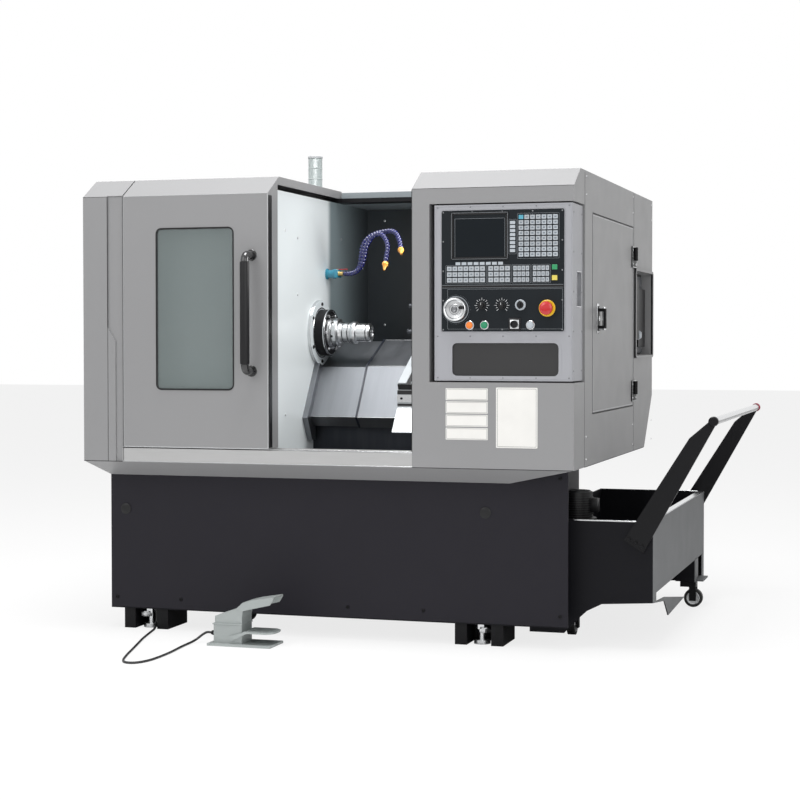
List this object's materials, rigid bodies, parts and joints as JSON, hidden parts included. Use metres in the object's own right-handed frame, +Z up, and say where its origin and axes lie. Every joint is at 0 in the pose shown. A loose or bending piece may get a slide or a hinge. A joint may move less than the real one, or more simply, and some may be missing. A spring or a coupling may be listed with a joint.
{
  "type": "slant bed cnc lathe",
  "caption": "Enclosed slant bed turning lathe with sliding hood door, swing-out control box, turret, telescopic way covers, roll-out chip cart and foot pedal.",
  "frame": {"origin": "middle of the machine's outline on the floor, cord left out", "axes": "+X to the operator's right along the spindle, +Y to the back, +Z up"},
  "size_m": [2.176, 2.0036, 1.736],
  "materials": {
    "enclosure_grey": "fine textured powder coat",
    "work_area_white": "gloss paint",
    "base_paint": "fine textured powder coat",
    "black_steel": "satin black",
    "stainless": "brushed",
    "cover_steel": "oiled steel",
    "cast_iron": "machined casting",
    "chuck_steel": "ground",
    "black_plastic": "satin",
    "panel_black": "satin",
    "button_mix": "gloss",
    "red_plastic": "gloss",
    "silver": "turned",
    "window_glass": "tinted sheet",
    "lamp_lens": "clear lens",
    "hose_blue": "gloss",
    "manifold_blue": "anodised",
    "pedal_grey": "hammered grey casting",
    "cart_paint": "powder coat",
    "tyre_black": "rubber",
    "cord_black": "matte sheath"
  },
  "bodies": {
    "machine": {"base_casting": "base_paint", "front_apron": "base_paint", "levelling_feet": "black_steel", "levelling_bolts": "chuck_steel", "floor_pan": "enclosure_grey", "left_end_housing": "enclosure_grey", "headstock_housing": "work_area_white", "headstock_wall": "work_area_white", "spindle_cover_ring": "work_area_white", "rear_housing": "enclosure_grey", "top_beam": "work_area_white", "door_top_rail": "black_steel", "back_wall": "cast_iron", "right_front_housing": "enclosure_grey", "right_side_housing": "enclosure_grey", "right_roof": "enclosure_grey", "hinge_pins": "black_steel", "side_port": "black_plastic", "tower_light": "lamp_lens", "sill": "stainless", "slant_bed": "cast_iron", "fixed_covers": "cover_steel", "way_end_plate": "cover_steel", "coolant_manifold": "manifold_blue", "coolant_hoses": "hose_blue", "cord_entry": "black_plastic", "pedal_housing": "pedal_grey", "pedal_gland": "pedal_grey", "pedal_cord": "cord_black"},
    "treadle": {"pedal_treadle": "pedal_grey"},
    "door": {"door_hood": "enclosure_grey", "door_window": "window_glass", "door_handle": "black_plastic"},
    "spindle": {"spindle_flange": "black_steel", "collet_chuck": "chuck_steel"},
    "control_box": {"control_box": "enclosure_grey", "operator_panel": "panel_black", "panel_buttons": "button_mix"},
    "handwheel": {"handwheel": "silver"},
    "emergency_stop": {"emergency_stop": "red_plastic"},
    "left_dial": {"left_dial": "black_plastic"},
    "right_dial": {"right_dial": "black_plastic"},
    "cabinet_door": {"cabinet_door": "enclosure_grey", "cabinet_door_hardware": "black_steel"},
    "carriage": {"carriage": "cast_iron", "left_moving_cover": "cover_steel", "right_moving_cover": "cover_steel"},
    "left_cover": {"left_middle_cover": "cover_steel"},
    "right_cover": {"right_middle_cover": "cover_steel"},
    "cross_slide": {"cross_slide": "stainless", "turret_body": "cast_iron"},
    "turret": {"turret_disc": "chuck_steel"},
    "cart": {"chip_cart": "cart_paint", "cart_handle": "black_steel", "coolant_pump": "black_plastic"},
    "tank_wheels": {"tank_wheels": "tyre_black"},
    "front_caster": {"front_caster": "chuck_steel"},
    "rear_caster": {"rear_caster": "chuck_steel"},
    "front_caster_wheel": {"front_caster_wheel": "tyre_black"},
    "rear_caster_wheel": {"rear_caster_wheel": "tyre_black"}
  },
  "joints": [
    {"name": "door_slide", "type": "slide", "parent": "machine", "child": "door", "axis": [1, 0, 0], "range_m": [0, 0.5]},
    {"name": "spindle_turn", "type": "hinge", "parent": "machine", "child": "spindle", "pos_m": [-0.318, -0.17, 1.047], "axis": [1, 0, 0], "continuous": true},
    {"name": "control_box_swing", "type": "hinge", "parent": "machine", "child": "control_box", "pos_m": [0.194, -0.673, 1], "axis": [0, 0, -1], "range_deg": [0, 90]},
    {"name": "cabinet_door_swing", "type": "hinge", "parent": "machine", "child": "cabinet_door", "pos_m": [0.662, 0.385, 1], "axis": [0, 0, 1], "range_deg": [0, 110]},
    {"name": "carriage_slide", "type": "slide", "parent": "machine", "child": "carriage", "axis": [1, 0, 0], "range_m": [-0.09, 0.13]},
    {"name": "left_cover_slide", "type": "slide", "parent": "machine", "child": "left_cover", "axis": [1, 0, 0], "range_m": [-0.045, 0.065]},
    {"name": "right_cover_slide", "type": "slide", "parent": "machine", "child": "right_cover", "axis": [1, 0, 0], "range_m": [-0.045, 0.065]},
    {"name": "cross_travel", "type": "slide", "parent": "carriage", "child": "cross_slide", "axis": [0, 0.866, 0.5], "range_m": [-0.05, 0.11]},
    {"name": "turret_turn", "type": "hinge", "parent": "cross_slide", "child": "turret", "pos_m": [0.012, -0.10416, 1.08457], "axis": [1, 0, 0], "continuous": true},
    {"name": "cart_slide", "type": "slide", "parent": "machine", "child": "cart", "axis": [1, 0, 0], "range_m": [0, 1.3]},
    {"name": "tank_wheel_roll", "type": "hinge", "parent": "cart", "child": "tank_wheels", "pos_m": [-0.638, 0.035, 0.035], "axis": [0, 1, 0], "continuous": true},
    {"name": "front_caster_swivel", "type": "hinge", "parent": "cart", "child": "front_caster", "pos_m": [0.556, -0.279, 0.11], "axis": [0, 0, 1], "continuous": true},
    {"name": "rear_caster_swivel", "type": "hinge", "parent": "cart", "child": "rear_caster", "pos_m": [0.842, 0.498, 0.11], "axis": [0, 0, 1], "continuous": true},
    {"name": "front_caster_roll", "type": "hinge", "parent": "front_caster", "child": "front_caster_wheel", "pos_m": [0.556, -0.253, 0.035], "axis": [-1, 0, 0], "continuous": true},
    {"name": "rear_caster_roll", "type": "hinge", "parent": "rear_caster", "child": "rear_caster_wheel", "pos_m": [0.868, 0.498, 0.035], "axis": [0, 1, 0], "continuous": true},
    {"name": "handwheel_turn", "type": "hinge", "parent": "control_box", "child": "handwheel", "pos_m": [0.261, -0.685, 1.119], "axis": [0, -1, 0], "continuous": true},
    {"name": "left_dial_turn", "type": "hinge", "parent": "control_box", "child": "left_dial", "pos_m": [0.348, -0.685, 1.132], "axis": [0, -1, 0], "range_deg": [-135, 135]},
    {"name": "right_dial_turn", "type": "hinge", "parent": "control_box", "child": "right_dial", "pos_m": [0.415, -0.685, 1.132], "axis": [0, -1, 0], "range_deg": [-135, 135]},
    {"name": "stop_push", "type": "slide", "parent": "control_box", "child": "emergency_stop", "axis": [0, 1, 0], "range_m": [0, 0.006], "stiffness_N_per_m": 600, "springref_m": -0.004},
    {"name": "treadle_press", "type": "hinge", "parent": "machine", "child": "treadle", "pos_m": [-0.482, -0.755, 0.027], "axis": [0, 1, 0], "range_deg": [0, 8], "stiffness_Nm_per_rad": 3, "springref_deg": -17.19}
  ],
  "couplings": [
    {"joint": "left_cover_slide", "follows": "carriage_slide", "ratio": 0.5},
    {"joint": "right_cover_slide", "follows": "carriage_slide", "ratio": 0.5}
  ]
}
